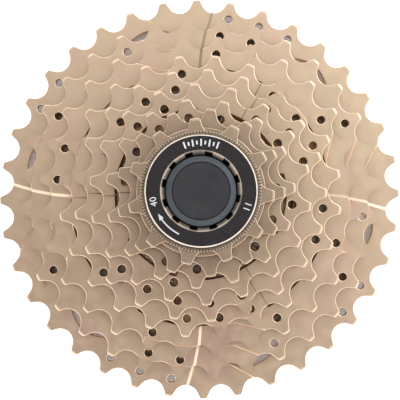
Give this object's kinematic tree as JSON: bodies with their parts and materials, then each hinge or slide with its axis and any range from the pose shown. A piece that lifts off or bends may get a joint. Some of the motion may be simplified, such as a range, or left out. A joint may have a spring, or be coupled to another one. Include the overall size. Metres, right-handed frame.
{
  "type": "bicycle cassette",
  "caption": "Bicycle rear sprocket cassette: stepped stack of plated steel chain sprockets with shift ramps, a threaded lockring on top and a splined plastic carrier sleeve through the bore.",
  "frame": {"origin": "on the bore axis, at the bottom of the carrier sleeve's foot", "axes": "+Z along the bore axis from the largest sprocket to the lockring; the largest sprocket has tooth tips 9 degrees clockwise from +Y and every 10 degrees on"},
  "size_m": [0.1476, 0.1476, 0.0421],
  "materials": {
    "plated_steel": "warm nickel plated, satin, stamped",
    "washer_steel": "plated, knurled edge",
    "rivet_steel": "plain steel, upset heads",
    "spacer_resin": "black resin",
    "black_anodised": "black anodised with a bright machined rim",
    "carrier_plastic": "moulded black plastic"
  },
  "bodies": {
    "riveted_block": {"sprocket_36t": "plated_steel", "sprocket_32t": "plated_steel", "sprocket_28t": "plated_steel", "sprocket_24t": "plated_steel", "sprocket_21t": "plated_steel", "sprocket_18t": "plated_steel", "spacer_32_36": "spacer_resin", "spacer_28_32": "spacer_resin", "spacer_24_28": "spacer_resin", "spacer_21_24": "spacer_resin", "spacer_18_21": "spacer_resin", "rivet_1": "rivet_steel", "rivet_2": "rivet_steel", "rivet_3": "rivet_steel", "core_sleeve": "carrier_plastic", "core_plug": "carrier_plastic"},
    "loose_15t": {"sprocket_15t": "plated_steel", "spacer_15_18": "spacer_resin"},
    "loose_13t": {"sprocket_13t": "plated_steel", "spacer_13_15": "spacer_resin"},
    "loose_11t": {"sprocket_11t": "plated_steel"},
    "washer": {"lockring_washer": "washer_steel"},
    "lockring_body": {"lockring": "black_anodised"}
  },
  "joints": [
    {"name": "sprocket_15t_slide", "type": "slide", "parent": "riveted_block", "child": "loose_15t", "axis": [0, 0, 1], "range_m": [0, 0.00265]},
    {"name": "sprocket_13t_slide", "type": "slide", "parent": "riveted_block", "child": "loose_13t", "axis": [0, 0, 1], "range_m": [0, 0.00349]},
    {"name": "sprocket_11t_slide", "type": "slide", "parent": "riveted_block", "child": "loose_11t", "axis": [0, 0, 1], "range_m": [0, 0.00439]},
    {"name": "lockring_travel", "type": "slide", "parent": "riveted_block", "child": "washer", "axis": [0, 0, 1], "range_m": [0, 0.00529]},
    {"name": "lockring_turn", "type": "hinge", "parent": "washer", "child": "lockring_body", "pos_m": [0, 0, 0.0399], "axis": [0, 0, 1], "range_deg": [0, 1800.5]}
  ],
  "couplings": [
    {"joint": "lockring_turn", "follows": "lockring_travel", "rad_per_m": 5938.7},
    {"joint": "sprocket_11t_slide", "follows": "lockring_travel", "ratio": 0.83},
    {"joint": "sprocket_13t_slide", "follows": "lockring_travel", "ratio": 0.66},
    {"joint": "sprocket_15t_slide", "follows": "lockring_travel", "ratio": 0.5}
  ]
}
